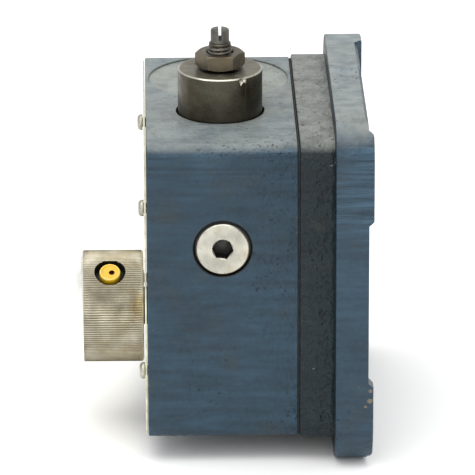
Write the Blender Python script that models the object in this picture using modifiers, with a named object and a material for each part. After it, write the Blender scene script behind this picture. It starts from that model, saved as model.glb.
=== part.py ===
"""Right angle bevel gearbox: a cast housing, a flanged casting, a mitre bevel pair,
a horizontal input shaft with a hand knob and a vertical output shaft with a steel hub.

The helpers take millimetres and write metres. X=0 is the output axis, Y=0 the centre
plane and Z=0 the plane the unit stands on.
"""
import math

import bmesh
import bpy
from mathutils import Matrix, Vector

MM = 0.001
NAME = "right_angle_bevel_gearbox"

# Axes
AXIS_Y = -14.0                 # both shafts lie in this plane
INPUT_Z = 49.0                 # height of the input axis and of the bevel apex
CENTRE_Z = 70.0                # height of the flange centre

# Castings
HOUSING_X = (-29.3, 29.2)
HOUSING_HALF = 60.5
HOUSING_RADIUS = 6.0
CAVITY_X = -21.0
CAVITY_HALF = 52.5
BODY_X = (30.0, 43.7)
BODY_HALF = 61.7
BODY_RADIUS = 8.0
FLANGE_X = (43.5, 58.4)
FLANGE_HALF = 70.0
FLANGE_RADIUS = 17.0
PAD_HEIGHT = 2.0
PAD_Y = (-62.0, 45.0)           # the face between the pads in Y
PAD_Z = (-34.0, 31.0)           # the face between the pads in Z, from the centre
GASKET_X = (29.4, 29.8)
COVER_X = (-30.3, -29.6)
COVER_HALF = 59.5
SCREW_OFFSET = 50.0            # joining screws, from the centre, in Y and Z
TAPPED_OFFSET = 58.5           # mounting holes, from the centre, in Y and Z
COVER_SCREW_Y = 53.3
COVER_SCREW_Z = 33.7

# Bevel pair
TEETH = 20
MODULE = 1.6
PITCH_RADIUS = TEETH * MODULE / 2
FACE_WIDTH = 8.0
PRESSURE_ANGLE = math.radians(20)
CONE = math.radians(45)
BACKLASH = 0.45

# Input side
INPUT_RADIUS = 7.5
INPUT_X = (-52.4, 38.0)
LEFT_BEARING_X = (-26.3, -19.3)
RIGHT_BEARING_X = (31.0, 38.0)
SMALL_BEARING_BORE = 28.8
KNOB_X = (-55.4, -30.7)
KNOB_CROWN_X = -58.4
KNOB_RADIUS = 22.2
KNOB_HOLE_X = -44.0
KNOB_HOLE_DIR = Vector((0.0, -0.530, 0.848)).normalized()

# Output side
OUTPUT_RADIUS = 8.5
OUTPUT_Z = (60.0, 140.0)
LOWER_BEARING_Z = (86.3, 96.3)
UPPER_BEARING_Z = (106.0, 116.0)
OUTPUT_BORE = 36.0
HUB_RADIUS = 16.6
HUB_Z = (123.0, 148.1)
NUT_Z = (149.0, 154.8)
NUT_FLATS = 17.0
STUD_RADIUS = 4.8
STUD_TOP = 164.0
STUD_TIP_Z = 157.8
KEY_WIDTH = 4.0

# Plugs
PLUG_HOLE = 16.8
PLUG_RADIUS = 8.0
LEVEL_Z = 89.0
FILL_Y = 29.0
DRAIN_XY = (-16.0, 5.0)

SEGMENTS = 24
FINE = 32
CUT = 1.0                      # how far a cutter runs past the face it opens

PARTS = None
CUTTERS = None
MATERIALS = {}

X_AXIS = Vector((1, 0, 0))
Y_AXIS = Vector((0, 1, 0))
Z_AXIS = Vector((0, 0, 1))
OUTPUT_AXIS = Vector((0, AXIS_Y, 0))
INPUT_AXIS = Vector((0, AXIS_Y, INPUT_Z))


def clear_scene():
    for obj in list(bpy.data.objects):
        bpy.data.objects.remove(obj, do_unlink=True)


def make_collections():
    global PARTS, CUTTERS
    PARTS = bpy.data.collections.new(NAME)
    CUTTERS = bpy.data.collections.new("cutters")
    bpy.context.scene.collection.children.link(PARTS)
    bpy.context.scene.collection.children.link(CUTTERS)
    CUTTERS.hide_render = True


def material(name, colour, metallic, roughness):
    mat = bpy.data.materials.new(name)
    mat.use_nodes = True
    shader = mat.node_tree.nodes["Principled BSDF"]
    shader.inputs["Base Color"].default_value = (*colour, 1.0)
    shader.inputs["Metallic"].default_value = metallic
    shader.inputs["Roughness"].default_value = roughness
    mat.diffuse_color = (*colour, 1.0)
    MATERIALS[name] = mat


def make_materials():
    material("blue_painted_iron", (0.055, 0.095, 0.145), 0.0, 0.45)
    material("cover_plate_paint", (0.55, 0.52, 0.40), 0.0, 0.5)
    material("dark_steel", (0.11, 0.105, 0.09), 0.9, 0.4)
    material("bearing_steel", (0.45, 0.45, 0.45), 1.0, 0.25)
    material("plated_steel", (0.32, 0.30, 0.24), 0.9, 0.38)
    material("turned_aluminium", (0.68, 0.67, 0.62), 1.0, 0.35)
    material("black_rubber", (0.012, 0.012, 0.012), 0.0, 0.6)
    material("yellow_plastic", (0.85, 0.55, 0.02), 0.0, 0.4)
    material("gasket_paper", (0.03, 0.03, 0.028), 0.0, 0.85)


def origin_on_axis(obj, point):
    """Put the origin of an object on a point in millimetres without moving the mesh."""
    shift = Vector(point) * MM
    obj.data.transform(Matrix.Translation(-shift))
    obj.location = shift


def place(name, bm, mat=None, spot=(0, 0, 0)):
    """Turn a bmesh into a named part, or into a cutter when it has no material."""
    bmesh.ops.recalc_face_normals(bm, faces=bm.faces)
    mesh = bpy.data.meshes.new(name)
    bm.to_mesh(mesh)
    bm.free()
    obj = bpy.data.objects.new(name, mesh)
    if mat:
        mesh.materials.append(MATERIALS[mat])
        PARTS.objects.link(obj)
    else:
        CUTTERS.objects.link(obj)
        obj.display_type = "WIRE"
        obj.hide_render = True
    origin_on_axis(obj, spot)
    return obj


def along(axis, centre, start, end):
    """Matrix that carries a unit-height primitive on Z to a span along an axis."""
    turn = Vector((0, 0, 1)).rotation_difference(axis).to_matrix().to_4x4()
    middle = centre + axis * ((start + end) / 2)
    return Matrix.Translation(middle * MM) @ turn


def cylinder_bm(axis, centre, radius, start, end, segments=SEGMENTS, turn=0.0):
    bm = bmesh.new()
    matrix = along(axis, centre, start, end) @ Matrix.Rotation(turn, 4, "Z")
    bmesh.ops.create_cone(bm, cap_ends=True, segments=segments, radius1=radius * MM,
                          radius2=radius * MM, depth=(end - start) * MM, matrix=matrix)
    return bm


def box_bm(low, high):
    bm = bmesh.new()
    size = [(b - a) * MM for a, b in zip(low, high)]
    middle = [(a + b) / 2 * MM for a, b in zip(low, high)]
    matrix = Matrix.Translation(middle) @ Matrix.Diagonal((*size, 1.0))
    bmesh.ops.create_cube(bm, size=1.0, matrix=matrix)
    return bm


def rounded_bm(x_span, half, radius, segments=4):
    """Square block centred on the flange centre, with its edges along X rounded."""
    bm = box_bm((x_span[0], -half, CENTRE_Z - half), (x_span[1], half, CENTRE_Z + half))
    edges = [e for e in bm.edges
             if abs((e.verts[0].co - e.verts[1].co).normalized().x) > 0.9]
    bmesh.ops.bevel(bm, geom=edges, offset=radius * MM, segments=segments, profile=0.5,
                    affect="EDGES", clamp_overlap=True)
    return bm


def boolean(obj, bm, operation, label):
    cutter = place(f"{obj.name}_{label}", bm)
    modifier = obj.modifiers.new(label, "BOOLEAN")
    modifier.operation = operation
    modifier.solver = "EXACT"
    modifier.object = cutter


def cut(obj, bm, label):
    boolean(obj, bm, "DIFFERENCE", label)


def join(obj, bm, label):
    boolean(obj, bm, "UNION", label)


def turned(name, axis, centre, profile, mat, segments=SEGMENTS, closed=False):
    """Screw a profile of (radius, distance along the axis) about an axis."""
    mesh = bpy.data.meshes.new(name)
    points = [(r * MM, 0.0, h * MM) for r, h in profile]
    edges = [(i, i + 1) for i in range(len(points) - 1)]
    if closed:
        edges.append((len(points) - 1, 0))
    mesh.from_pydata(points, edges, [])
    obj = bpy.data.objects.new(name, mesh)
    obj.rotation_euler = Vector((0, 0, 1)).rotation_difference(axis).to_euler()
    obj.location = centre * MM
    mesh.materials.append(MATERIALS[mat])
    PARTS.objects.link(obj)
    screw = obj.modifiers.new("turn", "SCREW")
    screw.axis = "Z"
    screw.steps = segments
    screw.render_steps = segments
    screw.use_merge_vertices = True
    screw.merge_threshold = 0.00001
    return obj


def ring(name, axis, centre, inner, outer, start, end, mat, segments=SEGMENTS):
    profile = [(inner, end), (outer, end), (outer, start), (inner, start)]
    return turned(name, axis, centre, profile, mat, segments, closed=True)


def corner_points(offset_y, offset_z):
    return [(sy * offset_y, CENTRE_Z + sz * offset_z) for sz in (1, -1) for sy in (-1, 1)]


def key_box(axis, side, base, start, end, inner, outer, width):
    """Box that lies along a shaft axis on one side of it."""
    across = axis.cross(side)
    corners = [base + axis * a + side * s + across * w
               for a in (start, end) for s in (inner, outer) for w in (-width / 2, width / 2)]
    low = [min(c[i] for c in corners) for i in range(3)]
    high = [max(c[i] for c in corners) for i in range(3)]
    return box_bm(low, high)


# ---------------------------------------------------------------- castings

def build_housing():
    body = place("gear_housing", rounded_bm(HOUSING_X, HOUSING_HALF, HOUSING_RADIUS),
                 "blue_painted_iron")
    cut(body, rounded_bm((CAVITY_X, HOUSING_X[1] + CUT), CAVITY_HALF, 3.0, 2), "cavity")
    for index, (y, z) in enumerate(corner_points(SCREW_OFFSET, SCREW_OFFSET), 1):
        centre = Vector((0, y, z))
        join(body, cylinder_bm(X_AXIS, centre, 8.0, CAVITY_X - 2, HOUSING_X[1], 16),
             f"boss_{index}")
        cut(body, cylinder_bm(X_AXIS, centre, 2.75, 14.0, HOUSING_X[1] + CUT, 12),
            f"tapped_{index}")
    for index, (y, z) in enumerate(corner_points(COVER_SCREW_Y, COVER_SCREW_Z), 1):
        cut(body, cylinder_bm(X_AXIS, Vector((0, y, z)), 2.25, HOUSING_X[0] - CUT, -22.0, 12),
            f"cover_hole_{index}")
    join(body, cylinder_bm(Z_AXIS, OUTPUT_AXIS, 23.5, 84.0, 124.0), "output_boss")
    join(body, cylinder_bm(X_AXIS, INPUT_AXIS, 19.0, CAVITY_X - 2, -18.0), "input_boss")
    top = CENTRE_Z + HOUSING_HALF + CUT
    cut(body, cylinder_bm(Z_AXIS, OUTPUT_AXIS, OUTPUT_BORE / 2, 86.0, top, FINE), "output_bore")
    cut(body, cylinder_bm(Z_AXIS, OUTPUT_AXIS, 14.5, 84.0 - CUT, 87.0), "output_lip")
    cut(body, cylinder_bm(Z_AXIS, OUTPUT_AXIS, 19.1, 116.1, 117.7, FINE), "circlip_groove")
    cut(body, cylinder_bm(X_AXIS, INPUT_AXIS, SMALL_BEARING_BORE / 2, HOUSING_X[0] - CUT,
                          -19.0), "input_bore")
    cut(body, cylinder_bm(X_AXIS, INPUT_AXIS, 12.0, -20.0, -18.0 + CUT), "input_lip")
    front = Vector((0, 0, LEVEL_Z))
    cut(body, cylinder_bm(Y_AXIS, front, 11.4, -HOUSING_HALF - CUT, -57.3), "level_seat")
    cut(body, cylinder_bm(Y_AXIS, front, PLUG_HOLE / 2, -58.0, -CAVITY_HALF + CUT), "level_hole")
    fill = Vector((0, FILL_Y, 0))
    cut(body, cylinder_bm(Z_AXIS, fill, 28.0, 129.7, top, FINE), "spot_face")
    cut(body, cylinder_bm(Z_AXIS, fill, PLUG_HOLE / 2, 120.0, top), "fill_hole")
    drain = Vector((*DRAIN_XY, 0))
    cut(body, cylinder_bm(Z_AXIS, drain, PLUG_HOLE / 2, 9.5 - CUT, 19.0), "drain_hole")


def build_gasket():
    plate = place("parting_gasket", rounded_bm(GASKET_X, 60.2, HOUSING_RADIUS), "gasket_paper")
    centre = Vector((0, 0, CENTRE_Z))
    low, high = GASKET_X[0] - CUT, GASKET_X[1] + CUT
    cut(plate, cylinder_bm(X_AXIS, centre, 45.5, low, high, FINE), "opening")
    for index, (y, z) in enumerate(corner_points(SCREW_OFFSET, SCREW_OFFSET), 1):
        cut(plate, cylinder_bm(X_AXIS, Vector((0, y, z)), 3.0, low, high, 12), f"hole_{index}")


def build_flange_casting():
    body = place("flange_casting", rounded_bm(FLANGE_X, FLANGE_HALF, FLANGE_RADIUS, 6),
                 "blue_painted_iron")
    join(body, rounded_bm(BODY_X, BODY_HALF, BODY_RADIUS), "neck")
    high_x = FLANGE_X[1] + CUT
    pad_x = FLANGE_X[1] - PAD_HEIGHT
    wide = FLANGE_HALF + CUT
    cut(body, box_bm((pad_x, PAD_Y[0], CENTRE_Z - wide),
                     (high_x, PAD_Y[1], CENTRE_Z + wide)), "between_pads_y")
    cut(body, box_bm((pad_x, -wide, CENTRE_Z + PAD_Z[0]),
                     (high_x, wide, CENTRE_Z + PAD_Z[1])), "between_pads_z")
    centre = Vector((0, 0, CENTRE_Z))
    cut(body, cylinder_bm(X_AXIS, centre, 45.0, BODY_X[0] - CUT, 43.4, FINE), "cavity")
    cut(body, cylinder_bm(X_AXIS, centre, 32.0, 52.9, high_x, FINE), "recess")
    join(body, cylinder_bm(X_AXIS, INPUT_AXIS, 19.0, BODY_X[0], 46.0), "input_boss")
    cut(body, cylinder_bm(X_AXIS, INPUT_AXIS, SMALL_BEARING_BORE / 2, BODY_X[0] - CUT, 38.5),
        "input_bore")
    for index, (y, z) in enumerate(corner_points(SCREW_OFFSET, SCREW_OFFSET), 1):
        spot = Vector((0, y, z))
        cut(body, cylinder_bm(X_AXIS, spot, 5.2, 51.0, high_x, 16), f"counterbore_{index}")
        cut(body, cylinder_bm(X_AXIS, spot, 2.9, BODY_X[0] - CUT, 52.0, 12), f"screw_hole_{index}")
    for index, (y, z) in enumerate(corner_points(TAPPED_OFFSET, TAPPED_OFFSET), 1):
        cut(body, cylinder_bm(X_AXIS, Vector((0, y, z)), 4.3, 46.0, high_x, 16),
            f"mount_hole_{index}")


def build_cover():
    plate = place("side_cover", rounded_bm(COVER_X, COVER_HALF, 5.0), "cover_plate_paint")
    low, high = COVER_X[0] - CUT, COVER_X[1] + CUT
    cut(plate, cylinder_bm(X_AXIS, INPUT_AXIS, 8.6, low, high), "shaft_hole")
    for index, (y, z) in enumerate(corner_points(COVER_SCREW_Y, COVER_SCREW_Z), 1):
        spot = Vector((0, y, z))
        cut(plate, cylinder_bm(X_AXIS, spot, 2.4, low, high, 12), f"hole_{index}")
        screw = turned(f"cover_screw_{index}", X_AXIS, spot,
                       [(0, -23.0), (1.9, -23.0), (1.9, -30.5), (3.3, -30.5), (3.3, -31.8),
                        (2.4, -32.6), (0, -32.6)], "plated_steel", 16)
        cut(screw, cylinder_bm(X_AXIS, spot, 1.4, -33.4, -31.4, 6), "socket")


def build_flange_screws():
    for index, (y, z) in enumerate(corner_points(SCREW_OFFSET, SCREW_OFFSET), 1):
        spot = Vector((0, y, z))
        screw = turned(f"flange_screw_{index}", X_AXIS, spot,
                       [(0, 56.3), (4.2, 56.3), (4.2, 51.3), (2.4, 51.3), (2.4, 16.0),
                        (0, 16.0)], "dark_steel", 12)
        cut(screw, cylinder_bm(X_AXIS, spot, 2.3, 53.5, 57.0, 6), "socket")


# ---------------------------------------------------------------- gears

def tooth_flank():
    """(development radius, half angle) down one flank, tip first."""
    radius = PITCH_RADIUS / math.cos(CONE)
    base = radius * math.cos(PRESSURE_ANGLE)
    involute = math.tan(PRESSURE_ANGLE) - PRESSURE_ANGLE
    half = math.pi / (2 * TEETH / math.cos(CONE)) - BACKLASH / (2 * radius)
    flank = []
    for r in (radius + MODULE, radius + MODULE / 2, radius - MODULE / 4):
        angle = math.acos(base / r)
        flank.append((r, half + involute - (math.tan(angle) - angle)))
    flank.append((radius - 1.25 * MODULE, half + involute))
    return flank


def gear_loop(scale, phase):
    """Points of one end of the tooth ring, with the gear axis on Z and the apex at 0."""
    back_apex = PITCH_RADIUS / math.cos(CONE) / math.cos(CONE)
    flank = tooth_flank()
    outline = [(r, -a) for r, a in reversed(flank)] + flank
    points = []
    for tooth in range(TEETH):
        for r, a in outline:
            turn = phase + 2 * math.pi * tooth / TEETH + a / math.cos(CONE)
            rho = r * math.sin(CONE) * scale
            height = (back_apex - r * math.cos(CONE)) * scale
            points.append(Vector((rho * math.cos(turn), rho * math.sin(turn), height)) * MM)
    return points


def bevel_blank(name, phase, axis):
    """Toothed ring lofted between its outer and inner ends and closed on the axis."""
    outer_cone = PITCH_RADIUS / math.sin(CONE)
    scale = (outer_cone - FACE_WIDTH) / outer_cone
    bm = bmesh.new()
    outer = [bm.verts.new(p) for p in gear_loop(1.0, phase)]
    inner = [bm.verts.new(p) for p in gear_loop(scale, phase)]
    back = bm.verts.new((0, 0, 18.5 * MM))
    front = bm.verts.new((0, 0, 11.2 * MM))
    for i in range(len(outer)):
        j = (i + 1) % len(outer)
        bm.faces.new((outer[i], outer[j], inner[j], inner[i]))
        bm.faces.new((outer[j], outer[i], back))
        bm.faces.new((inner[i], inner[j], front))
    turn = Vector((0, 0, 1)).rotation_difference(axis).to_matrix().to_4x4()
    bm.transform(Matrix.Translation(INPUT_AXIS * MM) @ turn)
    return place(name, bm, "dark_steel", INPUT_AXIS)


def build_gears():
    gear = bevel_blank("bevel_gear", 0.0, Z_AXIS)
    join(gear, cylinder_bm(Z_AXIS, OUTPUT_AXIS, 13.0, 65.0, 86.0), "hub")
    cut(gear, cylinder_bm(Z_AXIS, OUTPUT_AXIS, 8.8, 50.0, 87.0), "bore")
    cut(gear, key_box(Z_AXIS, Y_AXIS, OUTPUT_AXIS, 57.0, 87.0, 7.0, 10.6, KEY_WIDTH + 0.5),
        "keyway")
    pinion = bevel_blank("bevel_pinion", math.pi / TEETH, X_AXIS)
    join(pinion, cylinder_bm(X_AXIS, INPUT_AXIS, 11.3, 16.0, 30.7), "hub")
    cut(pinion, cylinder_bm(X_AXIS, INPUT_AXIS, 7.8, 5.0, 32.0), "bore")
    cut(pinion, key_box(X_AXIS, Y_AXIS, INPUT_AXIS, 5.0, 32.0, 6.0, 9.4, KEY_WIDTH + 0.5),
        "keyway")
    place("gear_key", key_box(Z_AXIS, Y_AXIS, OUTPUT_AXIS, 66.0, 84.0, 6.3, 10.3, KEY_WIDTH),
          "bearing_steel", OUTPUT_AXIS)
    place("pinion_key", key_box(X_AXIS, Y_AXIS, INPUT_AXIS, 14.0, 29.0, 5.4, 9.1, KEY_WIDTH),
          "bearing_steel", INPUT_AXIS)


# ---------------------------------------------------------------- bearings

def build_bearing(name, axis, centre, span, bore, outer, ball, balls):
    """Deep groove bearing: two grooved races and one ball-and-cage set."""
    middle = (span[0] + span[1]) / 2
    pitch = (bore + outer) / 2
    land = 0.42 * ball
    inner_land = pitch - 0.62 * ball
    outer_land = pitch + 0.62 * ball
    depth = ball + 0.25
    turned(f"{name}_inner_race", axis, centre,
           [(bore, span[1]), (inner_land, span[1]), (inner_land, middle + ball),
            (pitch - depth, middle + land), (pitch - depth, middle - land),
            (inner_land, middle - ball), (inner_land, span[0]), (bore, span[0])],
           "bearing_steel", 18, closed=True)
    turned(f"{name}_outer_race", axis, centre,
           [(outer, span[1]), (outer, span[0]), (outer_land, span[0]),
            (outer_land, middle - ball), (pitch + depth, middle - land),
            (pitch + depth, middle + land), (outer_land, middle + ball),
            (outer_land, span[1])],
           "bearing_steel", 18, closed=True)
    cage = ring(f"{name}_ball_cage", axis, centre, pitch - 0.3 * ball, pitch + 0.3 * ball,
                middle - 0.45 * ball, middle + 0.45 * ball, "bearing_steel", 18)
    bm = bmesh.new()
    side = Y_AXIS if axis.y == 0 else Z_AXIS
    across = axis.cross(side)
    for index in range(balls):
        turn = 2 * math.pi * (index + 0.27) / balls
        spot = centre + axis * middle + (side * math.cos(turn) + across * math.sin(turn)) * pitch
        bmesh.ops.create_icosphere(bm, subdivisions=2, radius=ball * MM,
                                   matrix=Matrix.Translation(spot * MM))
    join(cage, bm, "balls")


def build_bearings():
    build_bearing("input_left", X_AXIS, INPUT_AXIS, LEFT_BEARING_X, 7.85, 14.0, 1.9, 7)
    build_bearing("input_right", X_AXIS, INPUT_AXIS, RIGHT_BEARING_X, 7.85, 14.0, 1.9, 7)
    build_bearing("output_lower", Z_AXIS, OUTPUT_AXIS, LOWER_BEARING_Z, 8.85, 17.5, 2.6, 7)
    build_bearing("output_upper", Z_AXIS, OUTPUT_AXIS, UPPER_BEARING_Z, 8.85, 17.5, 2.6, 7)


# ---------------------------------------------------------------- input side

def build_input():
    shaft = turned("input_shaft", X_AXIS, INPUT_AXIS,
                   [(0, INPUT_X[1]), (6.9, INPUT_X[1]), (INPUT_RADIUS, 37.4),
                    (INPUT_RADIUS, -51.8), (6.9, INPUT_X[0]), (0, INPUT_X[0])], "dark_steel")
    cut(shaft, key_box(X_AXIS, Y_AXIS, INPUT_AXIS, 13.7, 29.3, 5.1, 9.0, KEY_WIDTH + 0.5),
        "keyway")
    ring("input_seal", X_AXIS, INPUT_AXIS, 7.85, 13.9, -28.8, -26.6, "black_rubber")
    knob = turned("hand_knob", X_AXIS, INPUT_AXIS,
                  [(0, KNOB_X[1]), (21.4, KNOB_X[1]), (KNOB_RADIUS, -31.5),
                   (KNOB_RADIUS, -54.3), (21.3, KNOB_X[0]), (14.0, -57.4), (7.0, -58.2),
                   (0, KNOB_CROWN_X)], "turned_aluminium", FINE)
    cut(knob, cylinder_bm(X_AXIS, INPUT_AXIS, 7.85, -52.8, KNOB_X[1] + CUT), "bore")
    centre = INPUT_AXIS + X_AXIS * KNOB_HOLE_X
    cut(knob, cylinder_bm(KNOB_HOLE_DIR, centre, 6.2, 17.0, KNOB_RADIUS + CUT, 20), "plug_seat")
    cut(knob, cylinder_bm(KNOB_HOLE_DIR, centre, 3.1, 6.0, 18.0, 12), "screw_hole")
    screw = place("knob_set_screw", cylinder_bm(KNOB_HOLE_DIR, centre, 2.7, 7.8, 16.7, 12),
                  "dark_steel", INPUT_AXIS)
    cut(screw, cylinder_bm(KNOB_HOLE_DIR, centre, 1.5, 13.5, 17.5, 6), "socket")
    cap = place("knob_plug", cylinder_bm(KNOB_HOLE_DIR, centre, 4.2, 17.3, 21.9, 20),
                "yellow_plastic", INPUT_AXIS)
    cut(cap, cylinder_bm(KNOB_HOLE_DIR, centre, 1.2, 19.4, 22.6, 12), "dimple")


# ---------------------------------------------------------------- output side

def build_output():
    shaft = turned("output_shaft", Z_AXIS, OUTPUT_AXIS,
                   [(0, OUTPUT_Z[1]), (7.9, OUTPUT_Z[1]), (OUTPUT_RADIUS, 139.4),
                    (OUTPUT_RADIUS, 60.6), (7.9, OUTPUT_Z[0]), (0, OUTPUT_Z[0])], "dark_steel")
    cut(shaft, cylinder_bm(Z_AXIS, OUTPUT_AXIS, 5.3, 120.0, 141.0), "tapped_hole")
    cut(shaft, key_box(Z_AXIS, Y_AXIS, OUTPUT_AXIS, 65.7, 84.3, 6.0, 10.0, KEY_WIDTH + 0.5),
        "gear_keyway")
    cut(shaft, key_box(Z_AXIS, Y_AXIS, OUTPUT_AXIS, 125.7, 138.0, 6.2, 10.0, KEY_WIDTH + 0.5),
        "hub_keyway")
    place("hub_key", key_box(Z_AXIS, Y_AXIS, OUTPUT_AXIS, 126.0, 137.7, 6.5, 10.3, KEY_WIDTH),
          "bearing_steel", OUTPUT_AXIS)
    hub = turned("output_hub", Z_AXIS, OUTPUT_AXIS,
                 [(0, HUB_Z[1]), (16.1, HUB_Z[1]), (HUB_RADIUS, 147.6), (HUB_RADIUS, HUB_Z[0]),
                  (0, HUB_Z[0])], "dark_steel", FINE)
    cut(hub, cylinder_bm(Z_AXIS, OUTPUT_AXIS, 8.8, HUB_Z[0] - CUT, 140.3), "shaft_bore")
    cut(hub, cylinder_bm(Z_AXIS, OUTPUT_AXIS, 5.3, 139.0, HUB_Z[1] + CUT), "stud_bore")
    cut(hub, key_box(Z_AXIS, Y_AXIS, OUTPUT_AXIS, HUB_Z[0] - CUT, 138.0, 7.0, 10.6,
                     KEY_WIDTH + 0.5), "keyway")
    ring("seal_washer", Z_AXIS, OUTPUT_AXIS, 5.2, 6.5, 148.3, 148.8, "black_rubber", 20)
    circum = NUT_FLATS / math.sqrt(3)
    nut = place("lock_nut", cylinder_bm(Z_AXIS, OUTPUT_AXIS, circum, *NUT_Z, 6, math.pi / 6),
                "plated_steel", OUTPUT_AXIS)
    cut(nut, cylinder_bm(Z_AXIS, OUTPUT_AXIS, 5.2, NUT_Z[0] - CUT, NUT_Z[1] + CUT), "bore")
    stud = turned("draw_stud", Z_AXIS, OUTPUT_AXIS,
                  [(0, STUD_TOP), (3.4, STUD_TOP), (3.9, STUD_TOP - 0.5), (3.9, STUD_TIP_Z),
                   (STUD_RADIUS, STUD_TIP_Z - 0.6), (STUD_RADIUS, 122.0), (4.2, 121.2),
                   (0, 121.2)], "plated_steel")
    cut(stud, box_bm((-0.6, AXIS_Y - 5.0, 160.0), (0.6, AXIS_Y + 5.0, STUD_TOP + CUT)), "slot")
    ring("bearing_spacer", Z_AXIS, OUTPUT_AXIS, 15.4, 17.5, 96.6, 105.7, "dark_steel")
    clip = ring("output_circlip", Z_AXIS, OUTPUT_AXIS, 15.6, 18.6, 116.4, 117.4, "dark_steel")
    cut(clip, box_bm((-2.5, AXIS_Y + 10, 115), (2.5, AXIS_Y + 20, 119)), "gap")
    ring("output_seal", Z_AXIS, OUTPUT_AXIS, 8.9, 17.4, 118.0, 122.6, "black_rubber")


# ---------------------------------------------------------------- plugs

def build_plugs():
    front = Vector((0, 0, LEVEL_Z))
    ring("level_plug_seal", Y_AXIS, front, 8.4, 11.1, -59.0, -57.5, "black_rubber")
    plug = turned("level_plug", Y_AXIS, front,
                  [(0, -50.0), (PLUG_RADIUS, -50.0), (PLUG_RADIUS, -59.2), (10.25, -59.2),
                   (10.25, -60.8), (9.9, -61.1), (0, -61.1)], "turned_aluminium", FINE)
    cut(plug, cylinder_bm(Y_AXIS, front, 4.4, -62.0, -55.0, 6), "socket")
    fill = Vector((0, FILL_Y, 0))
    ring("fill_plug_seal", Z_AXIS, fill, 8.4, 11.1, 129.9, 131.3, "black_rubber")
    plug = turned("fill_plug", Z_AXIS, fill,
                  [(0, 135.0), (9.8, 135.0), (10.25, 134.6), (10.25, 131.5),
                   (PLUG_RADIUS, 131.5), (PLUG_RADIUS, 121.0), (0, 121.0)],
                  "turned_aluminium")
    cut(plug, cylinder_bm(Z_AXIS, fill, 4.4, 128.0, 136.0, 6), "socket")
    drain = Vector((*DRAIN_XY, 0))
    ring("drain_plug_seal", Z_AXIS, drain, 8.4, 11.1, 7.6, 9.2, "black_rubber")
    plug = place("drain_plug", cylinder_bm(Z_AXIS, drain, 11.0, 0.0, 7.3, 6), "plated_steel")
    join(plug, cylinder_bm(Z_AXIS, drain, PLUG_RADIUS, 5.0, 17.0), "shank")


def main():
    clear_scene()
    make_collections()
    make_materials()
    build_housing()
    build_gasket()
    build_flange_casting()
    build_cover()
    build_flange_screws()
    build_gears()
    build_bearings()
    build_input()
    build_output()
    build_plugs()


main()
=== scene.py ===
"""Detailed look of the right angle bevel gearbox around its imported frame.

Shapes are built in millimetres and scaled to metres as each mesh is made.
"""
import math

import bmesh
import bpy
from mathutils import Matrix, Vector, noise


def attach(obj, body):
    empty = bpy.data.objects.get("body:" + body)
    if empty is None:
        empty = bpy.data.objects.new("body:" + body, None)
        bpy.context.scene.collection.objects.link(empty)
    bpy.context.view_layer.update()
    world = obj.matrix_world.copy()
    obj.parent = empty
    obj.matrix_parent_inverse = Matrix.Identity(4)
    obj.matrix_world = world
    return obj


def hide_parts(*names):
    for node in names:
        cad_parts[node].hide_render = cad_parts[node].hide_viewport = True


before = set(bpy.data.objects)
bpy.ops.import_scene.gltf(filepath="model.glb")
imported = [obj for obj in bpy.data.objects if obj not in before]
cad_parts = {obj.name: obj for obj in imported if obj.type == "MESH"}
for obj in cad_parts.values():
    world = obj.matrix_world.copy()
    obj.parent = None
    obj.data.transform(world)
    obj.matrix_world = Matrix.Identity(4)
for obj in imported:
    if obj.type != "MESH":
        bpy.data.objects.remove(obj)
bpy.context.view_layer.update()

MM = 0.001
X = Vector((1, 0, 0))
Y = Vector((0, 1, 0))
Z = Vector((0, 0, 1))

# Axes and plug places, in millimetres
CENTRE_Z = 70.0
INPUT = Vector((0, -14, 49))
OUTPUT = Vector((0, -14, 0))
LEVEL = Vector((0, 0, 89.0))
FILL = Vector((0, 29, 0))
DRAIN = Vector((-16, 5, 0))

# Castings: stations along X, and half sides of the rounded squares around CENTRE_Z
HOUSING_X = (-29.3, 29.2)
HOUSING_HALF = 60.5
HOUSING_RADIUS = 6.0
HOUSING_TOP = CENTRE_Z + HOUSING_HALF
CAVITY_X = -21
CAVITY_HALF = 52.5
BODY_HALF = 61.7
FLANGE_X = (43.5, 58.4)
FLANGE_HALF = 70.0
PAD_BASE = 56.4                 # the face between the raised corner pads
PAD_Y = (-62.0, 45.0)
PAD_Z = (-34.0, 31.0)           # from the centre
COVER_X = (-30.3, -29.6)

# Holes: places from the centre in Y and Z, then radii
JOIN_SCREW = (50, 50)
COVER_SCREW = (53.3, 33.7)
MOUNTING_HOLE = (58.5, 58.5)
OUTPUT_BORE = 18
INPUT_BORE = 14.4
PLUG_BORE = 8.4

# Knob, hub, nut and stud
KNOB_X = (-55.4, -30.7)
KNOB_RADIUS = 22.2
KNOB_HOLE = Vector((0, -0.530, 0.848)).normalized()
KNOB_HOLE_X = -44.0
KNURLS = 138
KNURL_DEPTH = 0.5
KNURL_X = (-54.6, -31.4)
HUB_RADIUS = 16.6
HUB_Z = (123.0, 148.1)
NUT_FLATS = 17.0
NUT_Z = (149.0, 154.8)
THREAD_Z = (148.6, 157.4)
THREAD_PITCH = 1.5
THREAD_DEPTH = 0.62
STUD_RADIUS = 4.8
TIP_RADIUS = 3.65
STUD_TOP = 164.0

ROUND = 96                      # segments around a turned part

# Camera: degrees, then metres and millimetres of focal length
VIEW_AZIMUTH = -1.2
VIEW_ELEVATION = 19.5
VIEW_ROLL = -0.15
VIEW_DISTANCE = 2.0
VIEW_TARGET = Vector((0.0070, 0.0, 0.0723))
VIEW_LENS = 379


# ---------------------------------------------------------------- materials

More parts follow.
